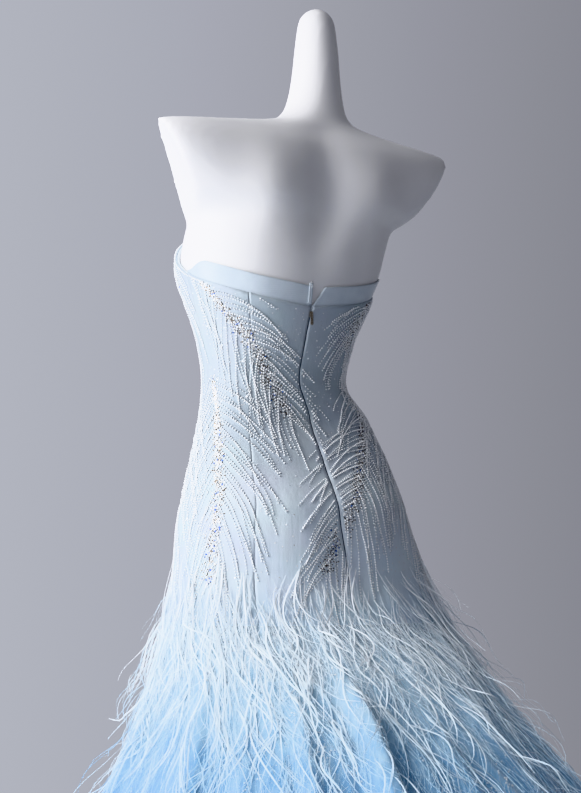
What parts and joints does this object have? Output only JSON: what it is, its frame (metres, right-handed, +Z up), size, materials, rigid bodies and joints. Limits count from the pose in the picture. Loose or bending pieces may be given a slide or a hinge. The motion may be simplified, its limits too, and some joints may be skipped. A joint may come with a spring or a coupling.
{
  "type": "ball gown on dress form",
  "caption": "Strapless fit-and-flare evening gown with beaded bodice, feathered skirt and sweep train, zipped at the back, on a headless, armless dress form with a pole stand.",
  "frame": {"origin": "centre of the underside of the stand's round base, on the floor", "axes": "+Z up; the gown's front faces -Y and its zipped back faces +Y; +X is the wearer's left"},
  "size_m": [1.1925, 1.2634, 1.653],
  "materials": {
    "bodice_satin": "satin under tulle, pale icy blue",
    "skirt_tulle": "layered tulle, icy blue deepening to sky blue",
    "facing_satin": "matt satin",
    "feather": "soft ostrich feather, white to pale blue",
    "zip_tape": "woven tape",
    "zip_metal": "dark bronze",
    "form_plastic": "smooth white, satin",
    "stand_steel": "brushed"
  },
  "bodies": {
    "gown_on_stand": {"bodice_front": "bodice_satin", "bodice_side_front_left": "bodice_satin", "bodice_side_back_left": "bodice_satin", "bodice_back_left": "bodice_satin", "bodice_back_right": "bodice_satin", "bodice_side_back_right": "bodice_satin", "bodice_side_front_right": "bodice_satin", "skirt_front": "skirt_tulle", "skirt_side_left": "skirt_tulle", "skirt_back_left": "skirt_tulle", "skirt_back_right": "skirt_tulle", "skirt_side_right": "skirt_tulle", "facing_left": "facing_satin", "facing_right": "facing_satin", "hook_tab": "facing_satin", "zip_tape": "zip_tape", "feather_row_1": "feather", "feather_row_2": "feather", "feather_row_3": "feather", "zip_slider": "zip_metal", "dress_form": "form_plastic", "stand_pole": "stand_steel", "stand_base": "stand_steel"},
    "zip_pull": {"zip_pull": "zip_metal"}
  },
  "joints": [
    {"name": "zip_pull_hinge", "type": "hinge", "parent": "gown_on_stand", "child": "zip_pull", "pos_m": [-0.00247, 0.10096, 1.15284], "axis": [1, 0, 0], "range_deg": [-6, 150]}
  ]
}
